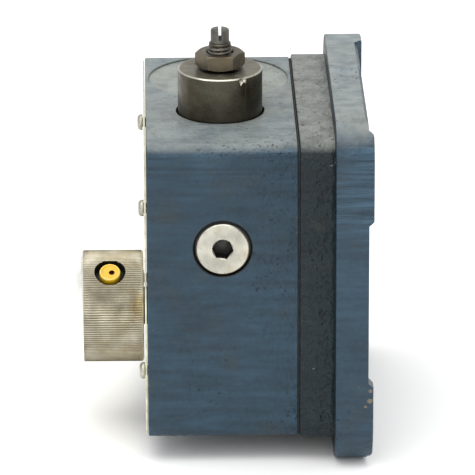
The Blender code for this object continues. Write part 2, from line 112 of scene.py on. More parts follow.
class Shader:
    """Small helper around one node material. Coordinates are the object's own, in metres."""

    def __init__(self, name, base, metallic=0.0, roughness=0.5):
        self.mat = bpy.data.materials.new(name)
        self.mat.use_nodes = True
        self.tree = self.mat.node_tree
        self.bsdf = self.tree.nodes["Principled BSDF"]
        self.coords = self.tree.nodes.new("ShaderNodeTexCoord")
        self.set("Base Color", (*base, 1.0))
        self.set("Metallic", metallic)
        self.set("Roughness", roughness)
        self.mat.diffuse_color = (*base, 1.0)
        self.normal = None

    def set(self, name, value):
        socket = self.bsdf.inputs[name]
        if isinstance(value, bpy.types.NodeSocket):
            self.tree.links.new(value, socket)
        else:
            socket.default_value = value

    def node(self, kind, values=None, **settings):
        made = self.tree.nodes.new(kind)
        for key, value in settings.items():
            setattr(made, key, value)
        for key, value in (values or {}).items():
            if isinstance(value, bpy.types.NodeSocket):
                self.tree.links.new(value, made.inputs[key])
            elif isinstance(value, tuple) and len(value) == 3 and made.inputs[key].type == "RGBA":
                made.inputs[key].default_value = (*value, 1.0)
            else:
                made.inputs[key].default_value = value
        return made

    def place(self, stretch, offset):
        mapping = self.node("ShaderNodeMapping", {"Vector": self.coords.outputs["Object"],
                                                  "Scale": stretch, "Location": offset})
        return mapping.outputs["Vector"]

    def noise(self, scale, detail=4.0, stretch=(1, 1, 1), offset=(0, 0, 0), rough=0.55):
        made = self.node("ShaderNodeTexNoise", {"Vector": self.place(stretch, offset),
                                                "Scale": scale, "Detail": detail,
                                                "Roughness": rough})
        return made.outputs["Fac"]

    def ramp(self, value, low, high, start=0.0, end=1.0):
        made = self.node("ShaderNodeMapRange", {"Value": value, "From Min": low,
                                                "From Max": high, "To Min": start,
                                                "To Max": end})
        return made.outputs["Result"]

    def math(self, operation, a, b=0.0):
        made = self.node("ShaderNodeMath", {0: a, 1: b}, operation=operation)
        return made.outputs[0]

    def mix(self, factor, a, b):
        made = self.node("ShaderNodeMix", data_type="RGBA")
        for index, value in ((0, factor), (6, a), (7, b)):
            if isinstance(value, bpy.types.NodeSocket):
                self.tree.links.new(value, made.inputs[index])
            elif index == 0:
                made.inputs[0].default_value = value
            else:
                made.inputs[index].default_value = (*value, 1.0)
        return made.outputs[2]

    def bump(self, height, distance, strength=1.0):
        values = {"Height": height, "Distance": distance, "Strength": strength}
        if self.normal:
            values["Normal"] = self.normal
        self.normal = self.node("ShaderNodeBump", values).outputs["Normal"]
        self.set("Normal", self.normal)

    def upward(self, low, high):
        """1 where the surface faces up, 0 on walls."""
        parts = self.node("ShaderNodeSeparateXYZ", {0: self.coords.outputs["Normal"]})
        return self.ramp(parts.outputs["Z"], low, high)

    def place_mask(self, point, radius, ragged):
        """1 inside a ragged blob around a point given in millimetres."""
        away = self.node("ShaderNodeVectorMath", {0: self.coords.outputs["Object"],
                                                  1: tuple(c * MM for c in point)},
                         operation="DISTANCE").outputs["Value"]
        wobble = self.ramp(self.noise(ragged, 5.0), 0.25, 0.75, -0.6, 0.6)
        edge = self.math("MULTIPLY_ADD", wobble, radius * MM)
        self.tree.links.new(away, edge.node.inputs[2])
        return self.ramp(edge, radius * MM, radius * MM * 0.8)


def tinted(colour, amount):
    return tuple(min(1.0, c * amount) for c in colour)


def enamel(name, colour, peel, dust_and_sheen, chips=0.0, ridges=0.0, zone=None, spots=(), pitted=0.3):
    """Satin enamel on a casting: wrinkled, with dust and a painted highlight on upward faces,
    painted shade towards the top, brush ridges painted light as a highlight, pits painted dark as
    shade, and chips.

    zone is the height range over which the brush ridges appear, and spots are chips at
    given points.
    """
    s = Shader(name, colour, 0.0, 0.42)
    mottled = s.mix(s.ramp(s.noise(38, 5.0), 0.3, 0.7), tinted(colour, 0.70), tinted(colour, 1.30))
    fine = s.mix(s.ramp(s.noise(520, 4.0, offset=(3, 1, 2)), 0.35, 0.65), tinted(colour, 0.72),
                 tinted(colour, 1.30))
    tone = s.mix(0.5, mottled, fine)
    streaks = s.ramp(s.noise(1.0, 4.0, stretch=(45, 300, 300), offset=(2, 4, 6)), 0.34, 0.66)
    tone = s.mix(0.45, tone, s.mix(streaks, tinted(colour, 0.55), tinted(colour, 1.5)))
    # Painted shade: the enamel is darkened more and more from 75 mm to 125 mm up.
    height = s.node("ShaderNodeSeparateXYZ", {0: s.coords.outputs["Object"]}).outputs["Z"]
    tone = s.mix(s.ramp(height, 0.075, 0.125, 0.0, 0.45), tone, tinted(colour, 0.55))
    grime = s.ramp(s.noise(75, 6.0, offset=(7, 3, 9)), 0.55, 0.8, 0.0, 0.5)
    tone = s.mix(grime, tone, tinted((0.060, 0.062, 0.048), 0.6))
    lines = s.ramp(s.noise(1.0, 3.0, stretch=(30, 620, 620)), 0.38, 0.62)
    where = s.ramp(s.noise(24, 3.0, offset=(6, 6, 6)), 0.38, 0.58)
    if zone:
        parts = s.node("ShaderNodeSeparateXYZ", {0: s.coords.outputs["Object"]})
        where = s.math("MULTIPLY", where, s.ramp(parts.outputs["Z"], zone[0], zone[1]))
    comb = s.math("MULTIPLY", lines, s.math("MULTIPLY", where, ridges))
    # The brush ridges are painted lighter, a painted highlight along them; their relief is the
    # bump further down.
    tone = s.mix(s.math("MULTIPLY", comb, 0.5), tone, tinted(colour, 2.1))
    # Upward faces are lightened towards pale grey: partly dust, partly a painted highlight of the
    # light from above.
    flat = s.upward(0.5, 0.97)
    top_dust_and_sheen = s.math("MULTIPLY", flat, s.ramp(s.noise(150, 7.0), 0.25, 0.60, 0.45, 1.0))
    tone = s.mix(s.math("MULTIPLY", top_dust_and_sheen, dust_and_sheen), tone, (0.40, 0.42, 0.38))
    patch = s.ramp(s.noise(30, 3.0, offset=(2, 9, 4)), 0.58 - 0.2 * pitted, 0.66 - 0.2 * pitted)
    pits = s.math("MULTIPLY", s.ramp(s.noise(640, 2.0, offset=(8, 2, 5)), 0.38, 0.31), patch)
    # The pits are painted darker: painted shade in their hollows.
    tone = s.mix(s.math("MULTIPLY", pits, 0.8), tone, tinted(colour, 0.35))
    mask = s.ramp(s.noise(190, 8.0, offset=(1, 8, 4), rough=0.66), 0.70 - chips, 0.72 - chips)
    for point, radius in spots:
        mask = s.math("MAXIMUM", mask, s.place_mask(point, radius, 240))
    tone = s.mix(mask, tone, (0.17, 0.145, 0.115))
    s.set("Base Color", tone)
    s.set("Metallic", s.math("MULTIPLY", mask, 0.7))
    s.set("Roughness", s.ramp(s.noise(60, 5.0, offset=(5, 5, 1)), 0.3, 0.7, 0.32, 0.52))
    s.set("Specular IOR Level", 0.25)
    s.set("Coat Weight", 0.08)
    s.set("Coat Roughness", 0.35)
    s.bump(s.ramp(s.noise(560, 3.0), 0.36, 0.64), 0.00016 * peel, 1.0)
    s.bump(s.ramp(s.noise(170, 3.0, offset=(2, 2, 2)), 0.3, 0.7), 0.00040 * peel, 1.0)
    s.bump(pits, -0.00016, 1.0)
    if ridges:
        s.bump(comb, 0.00016 * ridges, 1.0)
    s.bump(mask, -0.00012, 0.8)
    return s.mat


def metal(name, colour, roughness, axis=None, lines=3200, stain=None, stain_amount=0.0,
          marks=0.5):
    """Machined metal with turning lines along an axis, scratches and stains."""
    s = Shader(name, colour, 0.95, roughness)
    tone = s.mix(s.ramp(s.noise(150, 6.0), 0.3, 0.7), tinted(colour, 0.72), tinted(colour, 1.18))
    if stain:
        where = s.ramp(s.noise(85, 7.0, offset=(4, 6, 2), rough=0.62), 0.68 - stain_amount * 0.35,
                       0.86 - stain_amount * 0.35)
        tone = s.mix(where, tone, stain)
    specks = s.ramp(s.noise(900, 4.0, offset=(9, 1, 1)), 0.60, 0.74, 0.0, 0.55)
    tone = s.mix(specks, tone, tinted(colour, 0.35))
    s.set("Base Color", tone)
    s.set("Roughness", s.ramp(s.noise(240, 5.0, offset=(2, 7, 7)), 0.3, 0.7, roughness * 0.8,
                              roughness * 1.35))
    if axis:
        stretch = tuple(1.0 if a else 0.01 for a in axis)
        s.bump(s.noise(lines, 2.0, stretch=stretch), 0.00005, marks)
    s.bump(s.noise(700, 4.0, offset=(3, 3, 8)), 0.00004, marks)
    scratch = s.ramp(s.noise(60, 3.0, stretch=(1, 14, 30), offset=(1, 4, 4)), 0.62, 0.66)
    s.bump(scratch, 0.00003, marks)
    return s.mat


def knurled(name):
    """Aluminium darkened between its ridges by dirt and painted shade, with yellow-brown grime
    towards the housing.
    """
    s = Shader(name, (0.5, 0.46, 0.34), 0.9, 0.34)
    parts = s.node("ShaderNodeSeparateXYZ", {0: s.coords.outputs["Object"]})
    up = s.math("SUBTRACT", parts.outputs["Z"], INPUT.z * MM)
    out = s.math("SUBTRACT", parts.outputs["Y"], INPUT.y * MM)
    turn = s.math("MULTIPLY", s.math("ARCTAN2", up, out), KNURLS / (2 * math.pi))
    ridge = s.math("ABSOLUTE", s.math("SUBTRACT", s.math("FRACT", turn), 0.5))
    valley_shade_and_dirt = s.ramp(ridge, 0.16, 0.42)
    grime = s.ramp(s.noise(70, 6.0, offset=(4, 6, 2), rough=0.62), 0.42, 0.70)
    inward = s.ramp(parts.outputs["X"], -0.052, -0.032, 0.15, 1.0)
    dirt = s.math("MULTIPLY", grime, inward)
    tone = s.mix(s.ramp(s.noise(160, 6.0), 0.3, 0.7), (0.31, 0.285, 0.22), (0.52, 0.49, 0.40))
    tone = s.mix(dirt, tone, (0.30, 0.22, 0.085))
    # The valleys between the ridges are painted dark: dirt and painted shade.
    tone = s.mix(s.math("MULTIPLY", valley_shade_and_dirt, 0.75), tone, (0.085, 0.070, 0.040))
    s.set("Base Color", tone)
    s.set("Roughness", s.ramp(s.noise(240, 5.0, offset=(2, 7, 7)), 0.3, 0.7, 0.28, 0.46))
    s.bump(s.noise(900, 4.0, offset=(3, 3, 8)), 0.00006, 0.8)
    return s.mat


def rubber(name, colour, roughness=0.6):
    s = Shader(name, colour, 0.0, roughness)
    s.set("Base Color", s.mix(s.ramp(s.noise(500, 5.0), 0.35, 0.7), tinted(colour, 0.6),
                              tinted(colour, 1.7)))
    s.set("Roughness", s.ramp(s.noise(300, 4.0), 0.3, 0.7, roughness * 0.8, roughness * 1.2))
    s.bump(s.noise(1500, 3.0), 0.00005, 0.6)
    return s.mat


def plastic(name, colour, dirt):
    s = Shader(name, colour, 0.0, 0.34)
    worn = s.ramp(s.noise(420, 6.0), 0.56, 0.72, 0.0, 0.8)
    s.set("Base Color", s.mix(worn, colour, dirt))
    s.set("Roughness", s.ramp(s.noise(350, 4.0), 0.3, 0.7, 0.25, 0.5))
    s.bump(s.noise(900, 3.0), 0.00005, 0.5)
    return s.mat


BLUE = (0.018, 0.042, 0.064)
PAINT = enamel("housing_enamel", BLUE, 1.1, 0.42, 0.0, 1.3, (0.104, 0.128), (), 0.35)
EDGE = enamel("housing_edge_enamel", tinted(BLUE, 1.25), 0.5, 0.4, 0.08)
CAST = enamel("casting_enamel", (0.005, 0.013, 0.018), 2.2, 0.46, pitted=1.2)
FLANGE = enamel("flange_enamel", (0.021, 0.045, 0.068), 1.0, 0.48, 0.0, 2.0, (0.066, 0.096),
                (((56.8, -70, 29.0), 1.1), ((57.4, -70, 33.0), 0.8), ((55.4, -70, 26.5), 0.6)))
COVER = enamel("cover_enamel", (0.62, 0.60, 0.44), 0.4, 0.25, 0.03)
SPOT = enamel("spot_face_enamel", (0.055, 0.070, 0.070), 0.25, 0.5, 0.0, 0.3)
BORE = metal("machined_iron", (0.16, 0.15, 0.13), 0.5)
# Near-black steel inside sockets, slots, the knob's holes and the level plug's seat: painted
# shadow in these hollows.
SOCKET_SHADOW = metal("socket_shadow_steel", (0.05, 0.048, 0.045), 0.55)
HUB = metal("hub_steel", (0.080, 0.073, 0.054), 0.38, Z, 2600, (0.045, 0.036, 0.022), 0.5, 0.9)
HUB_RIM = metal("hub_rim_steel", (0.46, 0.44, 0.37), 0.3, Z)
HUB_TOP = metal("hub_top_steel", (0.20, 0.185, 0.145), 0.4, None, 0, (0.06, 0.05, 0.03), 0.5)
NUT = metal("nut_bronze_plate", (0.125, 0.106, 0.074), 0.38, None, 0, (0.10, 0.075, 0.04), 0.5)
STUD = metal("stud_steel", (0.13, 0.126, 0.115), 0.36, Z, 2400, (0.07, 0.055, 0.035), 0.4)
PLUG = metal("plug_aluminium", (0.50, 0.49, 0.42), 0.34, None, 0, (0.42, 0.37, 0.24), 0.35)
KNOB = knurled("knob_aluminium")
# Near-white copy of the knob's aluminium for its chamfer and domed end: a painted highlight.
KNOB_FACE_HIGHLIGHT = metal("knob_face_painted_highlight", (0.85, 0.84, 0.78), 0.38, None, 0, (0.4, 0.3, 0.15), 0.4)
SCREW = metal("zinc_screw_steel", (0.40, 0.385, 0.33), 0.4, None, 0, (0.2, 0.14, 0.07), 0.4)
DARK = metal("dark_steel_parts", (0.13, 0.125, 0.11), 0.38)
BRIGHT = metal("ground_bearing_steel", (0.55, 0.55, 0.54), 0.25)
RUBBER = rubber("black_rubber_seal", (0.012, 0.012, 0.012))
GASKET = rubber("fibre_gasket", (0.022, 0.020, 0.017), 0.85)
YELLOW = plastic("yellow_plug_plastic", (0.70, 0.40, 0.006), (0.42, 0.32, 0.10))
RIM = plastic("yellow_plug_rim", (0.78, 0.56, 0.08), (0.62, 0.60, 0.40))
# Dark brown for the dimple in the knob's yellow cap: painted shade in the hollow.
DIMPLE_SHADE = plastic("plug_dimple_brown", (0.06, 0.012, 0.006), (0.02, 0.006, 0.004))


# ---------------------------------------------------------------- mesh helpers

def turn_to(axis):
    return Z.rotation_difference(axis).to_matrix().to_4x4()


def to_object(name, bm, *materials, smooth=32):
    """Scale a bmesh to metres and make it an object with sharp edges marked."""
    bm.transform(Matrix.Scale(MM, 4))
    mesh = bpy.data.meshes.new(name)
    bm.to_mesh(mesh)
    bm.free()
    for material in materials:
        mesh.materials.append(material)
    for face in mesh.polygons:
        face.use_smooth = True
    mesh.set_sharp_from_angle(angle=math.radians(smooth))
    obj = bpy.data.objects.new(name, mesh)
    bpy.context.scene.collection.objects.link(obj)
    return obj


def rings_to_bm(rings, closed=False, strips=None):
    """Skin equal rings of points. Open stacks are capped at both ends."""
    bm = bmesh.new()
    made = [[bm.verts.new(p) for p in ring] for ring in rings]
    pairs = list(zip(made, made[1:] + made[:1])) if closed else list(zip(made, made[1:]))
    count = len(made[0])
    for index, (a, b) in enumerate(pairs):
        for i in range(count):
            j = (i + 1) % count
            face = bm.faces.new((a[i], a[j], b[j], b[i]))
            if strips:
                face.material_index = strips[index]
    if not closed:
        for ring in (made[0], made[-1]):
            bm.faces.new(ring)
    bmesh.ops.recalc_face_normals(bm, faces=bm.faces)
    return bm


def lathe_rings(profile, segments, shape=None):
    rings = []
    for r, h in profile:
        ring = []
        for i in range(segments):
            angle = 2 * math.pi * i / segments
            radius = shape(r, angle, h) if shape else r
            ring.append(Vector((radius * math.cos(angle), radius * math.sin(angle), h)))
        rings.append(ring)
    return rings


def lathe(name, axis, centre, profile, *materials, segments=ROUND, closed=False, shape=None,
          strips=None, smooth=32):
    """Solid of revolution about an axis from (radius, height) pairs."""
    bm = rings_to_bm(lathe_rings(profile, segments, shape), closed, strips)
    bm.transform(Matrix.Translation(centre) @ turn_to(axis))
    return to_object(name, bm, *materials, smooth=smooth)


def rod(name, axis, centre, radius, start, end, material, segments=ROUND, turn=0.0):
    """Plain cutter cylinder, or a prism when it has few segments."""
    bm = rings_to_bm(lathe_rings([(radius, start), (radius, end)], segments))
    bm.transform(Matrix.Translation(centre) @ turn_to(axis) @ Matrix.Rotation(turn, 4, "Z"))
    return to_object(name, bm, material)


def outline(x, half, radius, corner=12):
    """Rounded square in a YZ plane."""
    points = []
    for quarter in range(4):
        middle = math.pi / 4 + quarter * math.pi / 2
        cy = (half - radius) * (1 if math.cos(middle) > 0 else -1)
        cz = (half - radius) * (1 if math.sin(middle) > 0 else -1)
        for i in range(corner + 1):
            angle = quarter * math.pi / 2 + i * (math.pi / 2) / corner
            points.append(Vector((x, cy + radius * math.cos(angle),
                                  CENTRE_Z + cz + radius * math.sin(angle))))
    return points


def loft(name, stations, *materials, strips=None, smooth=32):
    bm = rings_to_bm([outline(*s) for s in stations], strips=strips)
    return to_object(name, bm, *materials, smooth=smooth)


def prism(name, points, material):
    """Hexahedral cutter from its eight corners, lower four first."""
    bm = rings_to_bm([[Vector(p) for p in points[:4]], [Vector(p) for p in points[4:]]])
    return to_object(name, bm, material)


def carve(obj, tools, smooth=32):
    """Apply exact Booleans one after another and delete the tools."""
    for operation, tool in tools:
        modifier = obj.modifiers.new("carve", "BOOLEAN")
        modifier.operation = operation
        modifier.solver = "EXACT"
        modifier.material_mode = "TRANSFER"
        modifier.object = tool
        bpy.context.view_layer.update()
        shaped = obj.evaluated_get(bpy.context.evaluated_depsgraph_get())
        mesh = bpy.data.meshes.new_from_object(shaped)
        obj.modifiers.clear()
        obj.data = mesh
        bpy.data.objects.remove(tool, do_unlink=True)
    for face in obj.data.polygons:
        face.use_smooth = True
    obj.data.set_sharp_from_angle(angle=math.radians(smooth))
    return obj


def finish(obj, body, slot, *nodes):
    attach(obj, body)
    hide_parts(*nodes)
    return obj


def corners(y, z):
    return [(sy * y, CENTRE_Z + sz * z) for sz in (1, -1) for sy in (-1, 1)]


def rounded_edge(start, end, half, radius, lip):
    """Stations of a block whose two end edges are rounded over a lip."""
    near = [(start, half - lip, radius - lip * 0.5), (start + 0.3 * lip, half - 0.3 * lip, radius),
            (start + lip, half, radius)]
    far = [(end - lip, half, radius), (end - 0.3 * lip, half - 0.3 * lip, radius),
           (end, half - lip, radius - lip * 0.5)]
    return near + far


def flared(name, axis, centre, radius, mouth, floor, flare, material, shape=None):
    """Cutter for a hole with a chamfered mouth. The hole runs from the floor to the mouth."""
    out = 1 if mouth > floor else -1
    profile = [(radius, floor), (radius, mouth - out * flare), (radius + flare, mouth),
               (radius + flare, mouth + out)]
    return lathe(name, axis, centre, profile, material, shape=shape)


# ---------------------------------------------------------------- castings

def ragged(amount, seed):
    def shape(r, angle, h):
        spot = Vector((math.cos(angle) * 3, math.sin(angle) * 3, seed + h * 0.3))
        return r + amount * (noise.noise(spot) + 0.6 * noise.noise(spot * 3.1))
    return shape


def housing():
    obj = loft("housing_body", rounded_edge(*HOUSING_X, HOUSING_HALF, HOUSING_RADIUS, 0.5),
               PAINT, EDGE, strips=[1, 1, 0, 1, 1])
    cavity = [(x, CAVITY_HALF, 3, 4) for x in (CAVITY_X, HOUSING_X[1] + 1.8)]
    tools = [("DIFFERENCE", loft("t", cavity, CAST))]
    for y, z in corners(*JOIN_SCREW):
        spot = Vector((0, y, z))
        tools.append(("UNION", rod("t", X, spot, 8, -23, 29.1, CAST, 32)))
        tools.append(("DIFFERENCE", rod("t", X, spot, 2.75, 14, 31, BORE, 24)))
    for y, z in corners(*COVER_SCREW):
        tools.append(("DIFFERENCE", rod("t", X, Vector((0, y, z)), 2.25, -30, -22, BORE, 24)))
    tools += [
        ("UNION", rod("t", Z, OUTPUT, 23.5, 84, 124, CAST, 64)),
        ("UNION", rod("t", X, INPUT, 19, -23, -18, CAST, 64)),
        ("DIFFERENCE", rod("t", Z, OUTPUT, OUTPUT_BORE, 86, HOUSING_TOP - 1.5, BORE)),
        ("DIFFERENCE", flared("t", Z, OUTPUT, 17.3, HOUSING_TOP, HOUSING_TOP - 2, 0.2, BORE,
                              ragged(0.3, 4))),
        ("DIFFERENCE", rod("t", Z, OUTPUT, 14.5, 83, 87, BORE)),
        ("DIFFERENCE", rod("t", Z, OUTPUT, 19.1, 116.1, 117.7, BORE)),
        ("DIFFERENCE", rod("t", X, INPUT, INPUT_BORE, -30, -19, BORE)),
        ("DIFFERENCE", rod("t", X, INPUT, 12, -20, -17, BORE)),
        ("DIFFERENCE", flared("t", Y, LEVEL, 11.35, -HOUSING_HALF, -57.3, 0.35, SOCKET_SHADOW)),
        ("DIFFERENCE", rod("t", Y, LEVEL, PLUG_BORE, -58, -51, BORE)),
        ("DIFFERENCE", flared("t", Z, FILL, 27.8, HOUSING_TOP, HOUSING_TOP - 0.75, 0.35, SPOT)),
        ("DIFFERENCE", rod("t", Z, FILL, PLUG_BORE, 120, HOUSING_TOP + 0.5, BORE)),
        ("DIFFERENCE", rod("t", Z, DRAIN, PLUG_BORE, 8.5, 19, BORE)),
    ]
    carve(obj, tools)
    finish(obj, "root", "blue_painted_iron", "gear_housing")


def gasket():
    obj = loft("gasket_sheet", [(29.35, 60.1, 6), (29.85, 60.1, 6)], GASKET)
    tools = [("DIFFERENCE", rod("t", X, Vector((0, 0, CENTRE_Z)), 45.5, 29, 31, GASKET))]
    for y, z in corners(*JOIN_SCREW):
        tools.append(("DIFFERENCE", rod("t", X, Vector((0, y, z)), 3, 29, 31, GASKET, 24)))
    finish(carve(obj, tools), "root", "gasket_paper", "parting_gasket")


def fillet_strip(side):
    """Cast fillet where the front or back wall of the body meets the flange."""
    curve = [(40.0, 61.4), (41.0, 61.75), (42.0, 62.2), (42.8, 63.1), (43.4, 64.5), (43.75, 67.0),
             (44.0, 69.0), (44.6, 69.0), (44.6, 60.6), (40.0, 60.6)]
    rings = []
    for height in (-54.5, -53.0, 53.0, 54.5):
        sink = 2.0 if abs(height) > 54 else 0.0
        rings.append([Vector((x, side * max(60.0, y - sink), CENTRE_Z + height))
                      for x, y in curve])
    return to_object("t", rings_to_bm(rings), CAST)


def edge_bevel(side):
    """Cutter that breaks the long edge between the flange's rim and its mounting face."""
    face = CENTRE_Z + side * FLANGE_HALF
    rings = []
    for y in (-68.0, PAD_Y[1] - 1.0):
        rings.append([Vector((54.9, y, face + side * 0.4)), Vector((57.5, y, face - side * 2.8)),
                      Vector((59.0, y, face - side * 2.8)), Vector((59.0, y, face + side * 0.4))])
    return to_object("t", rings_to_bm(rings), FLANGE)


def flange():
    body, rim = BODY_HALF, FLANGE_HALF
    step, face = FLANGE_X
    stations = [(30.0, body - 0.5, 7.6), (30.15, body - 0.15, 8), (30.5, body, 8),
                (43.0, body, 8), (step, body + 0.05, 8.1), (step + 0.05, body + 0.6, 8.6),
                (step + 0.1, rim - 0.6, 16.5), (step + 0.3, rim - 0.15, 16.9),
                (step + 0.7, rim, 17), (face - 0.8, rim, 17), (face - 0.25, rim - 0.25, 16.8),
                (face, rim - 0.8, 16.4)]
    obj = loft("flange_body", stations, CAST, FLANGE, strips=[0] * 6 + [1] * 5, smooth=40)
    tools = []
    for side in (-1, 1):
        tools.append(("UNION", fillet_strip(side)))
    for low, high, axis in ((PAD_Y[0], PAD_Y[1], 1), (PAD_Z[0], PAD_Z[1], 2)):
        points = []
        for depth, grow in ((PAD_BASE, 0.0), (60.0, 3.0)):
            a, b = low - grow, high + grow
            for u, v in ((a, -75), (b, -75), (b, 75), (a, 75)):
                points.append((depth, u, CENTRE_Z + v) if axis == 1
                              else (depth, v, CENTRE_Z + u))
        tools.append(("DIFFERENCE", prism("t", points, FLANGE)))
    for side in (-1, 1):
        tools.append(("DIFFERENCE", edge_bevel(side)))
    centre = Vector((0, 0, CENTRE_Z))
    tools += [
        ("DIFFERENCE", rod("t", X, centre, 45, 29, 43.4, CAST)),
        ("DIFFERENCE", flared("t", X, centre, 31.5, PAD_BASE, 52.9, 0.6, FLANGE)),
        ("UNION", rod("t", X, INPUT, 19, 30.1, 46, CAST, 64)),
        ("DIFFERENCE", rod("t", X, INPUT, INPUT_BORE, 29, 38.5, BORE)),
    ]
    for y, z in corners(*JOIN_SCREW):
        spot = Vector((0, y, z))
        mouth = face if y > 0 else PAD_BASE
        tools.append(("DIFFERENCE", flared("t", X, spot, 5.2, mouth, 51.0, 0.4, BORE)))
        tools.append(("DIFFERENCE", rod("t", X, spot, 2.9, 29, 52, BORE, 32)))
    for y, z in corners(*MOUNTING_HOLE):
        spot = Vector((0, y, z))
        tools.append(("DIFFERENCE", flared("t", X, spot, 4.3, face, 46.0, 0.6, BORE)))
    carve(obj, tools, 40)
    finish(obj, "root", "blue_painted_iron", "flange_casting")


def cover():
    obj = loft("cover_sheet", rounded_edge(*COVER_X, 59.5, 5.0, 0.2), COVER)
    tools = [("DIFFERENCE", flared("t", X, INPUT, 8.4, COVER_X[0], -28.5, 0.2, BORE))]
    for y, z in corners(*COVER_SCREW):
        tools.append(("DIFFERENCE", rod("t", X, Vector((0, y, z)), 2.3, -32, -28, BORE, 32)))
    finish(carve(obj, tools), "root", "cover_plate_paint", "side_cover")
    for index, (y, z) in enumerate(corners(*COVER_SCREW), 1):
        spot = Vector((0, y, z))
        profile = [(1.9, -23.0), (1.95, -30.5), (3.2, -30.5), (3.3, -30.7), (3.28, -31.3),
                   (3.1, -31.8), (2.7, -32.25), (2.1, -32.55), (1.2, -32.6)]
        screw = lathe(f"cover_screw_head_{index}", X, spot, profile, SCREW, segments=48)
        carve(screw, [("DIFFERENCE", rod("t", X, spot, 1.35, -34, -31.4, SOCKET_SHADOW, 6, 0.4 * index))])
        finish(screw, "root", "plated_steel", f"cover_screw_{index}")


def flange_screws():
    for index, (y, z) in enumerate(corners(*JOIN_SCREW), 1):
        spot = Vector((0, y, z))
        profile = [(2.0, 16.0), (2.4, 16.4), (2.4, 51.2), (4.1, 51.3), (4.2, 51.5), (4.2, 55.8),
                   (4.05, 56.2), (3.7, 56.3)]
        screw = lathe(f"cap_screw_{index}", X, spot, profile, DARK, segments=48)
        carve(screw, [("DIFFERENCE", rod("t", X, spot, 2.3, 53.5, 57, SOCKET_SHADOW, 6, 0.7 * index))])
        finish(screw, "root", "dark_steel", f"flange_screw_{index}")


# ---------------------------------------------------------------- knob

def knurl(r, angle, h):
    """Straight ridges along the knob, sunk below its outside, faded at both chamfers."""
    fade_left = min(1.0, max(0.0, (h - KNURL_X[0]) / 0.8))
    fade_right = min(1.0, max(0.0, (KNURL_X[1] - h) / 0.8))
    inside = fade_left * fade_right
    phase = (angle * KNURLS / (2 * math.pi)) % 1.0
    height = 1 - abs(2 * phase - 1)
    worn = 0.75 + 0.25 * noise.noise(Vector((math.cos(angle) * 4, math.sin(angle) * 4, h * 0.2)))
    return r - KNURL_DEPTH * inside * (1 - height) * worn


def knob():
    rows = 16
    left, right = KNURL_X
    middle = [(KNOB_RADIUS, right - i * (right - left) / rows) for i in range(rows + 1)]
    chamfer = [(20.6, KNOB_X[1]), (21.3, KNOB_X[1] - 0.05), (21.9, KNOB_X[1] - 0.35)]
    dome = [(21.95, KNOB_X[0] + 0.45), (21.3, KNOB_X[0]), (19.0, -56.15), (16.0, -56.9),
            (12.0, -57.6), (7.5, -58.15), (3.0, -58.37)]
    profile = chamfer + middle + dome
    strips = [1] * len(chamfer) + [0] * rows + [1] * len(dome)
    obj = lathe("knurled_knob", X, INPUT, profile, KNOB, KNOB_FACE_HIGHLIGHT, segments=KNURLS * 4,
                shape=knurl, strips=strips, smooth=28)
    centre = INPUT + X * KNOB_HOLE_X
    tools = [("DIFFERENCE", rod("t", X, INPUT, 7.85, -52.8, -30, BORE, 64)),
             ("DIFFERENCE", rod("t", KNOB_HOLE, centre, 6.2, 17, 24, SOCKET_SHADOW, 64)),
             ("DIFFERENCE", rod("t", KNOB_HOLE, centre, 3.1, 6, 18, SOCKET_SHADOW, 32))]
    finish(carve(obj, tools, 28), "input", "turned_aluminium", "hand_knob")
    cap = lathe("yellow_cap", KNOB_HOLE, centre,
                [(4.0, 17.4), (4.15, 17.7), (4.15, 21.2), (4.0, 21.6), (3.7, 21.8),
                 (3.4, 21.7), (3.2, 21.4), (2.4, 21.3), (1.2, 21.25)], YELLOW, RIM,
                strips=[0, 0, 1, 1, 1, 0, 0, 0], segments=64)
    dimple = centre + X * 0.7
    carve(cap, [("DIFFERENCE", lathe("t", KNOB_HOLE, dimple,
                                     [(1.0, 19.7), (1.15, 21.0), (1.3, 23.0)], DIMPLE_SHADE,
                                     segments=32))])
    finish(cap, "input", "yellow_plastic", "knob_plug")
    screw = lathe("grub_screw", KNOB_HOLE, centre,
                  [(1.6, 7.8), (2.6, 8.6), (2.7, 9.0), (2.7, 16.3), (2.4, 16.7)], DARK,
                  segments=48)
    carve(screw, [("DIFFERENCE", rod("t", KNOB_HOLE, centre, 1.5, 13.5, 17.5, SOCKET_SHADOW, 6))])
    finish(screw, "input", "dark_steel", "knob_set_screw")


# ---------------------------------------------------------------- output end

def hub():
    low, high = HUB_Z
    profile = [(16.0, low), (16.5, low + 0.4), (HUB_RADIUS, low + 1.0),
               (HUB_RADIUS, high - 0.8), (16.55, high - 0.5), (16.15, high - 0.05),
               (15.9, high), (14.0, high - 0.04), (9.0, high - 0.04)]
    obj = lathe("steel_hub", Z, OUTPUT, profile, HUB, HUB_RIM, HUB_TOP,
                strips=[0, 0, 0, 0, 1, 1, 2, 2], segments=128)
    chip = bmesh.new()
    bmesh.ops.create_icosphere(chip, subdivisions=3, radius=2.0)
    for vertex in chip.verts:
        vertex.co *= 1 + 0.35 * noise.noise(vertex.co * 0.9)
        vertex.co = Vector((vertex.co.x, vertex.co.y, vertex.co.z * 1.7)) + Vector(
            (9.3, OUTPUT.y - 15.2, high - 0.1))
    keyway = []
    for height in (low - 1, 138):
        keyway += [(-2.25, -7, height), (2.25, -7, height), (2.25, -3.4, height),
                   (-2.25, -3.4, height)]
    tools = [("DIFFERENCE", to_object("t", chip, HUB_RIM)),
             ("DIFFERENCE", rod("t", Z, OUTPUT, 8.8, 122, 140.3, BORE)),
             ("DIFFERENCE", rod("t", Z, OUTPUT, 5.3, 139, 149, BORE)),
             ("DIFFERENCE", prism("t", keyway, BORE))]
    finish(carve(obj, tools), "output", "dark_steel", "output_hub")


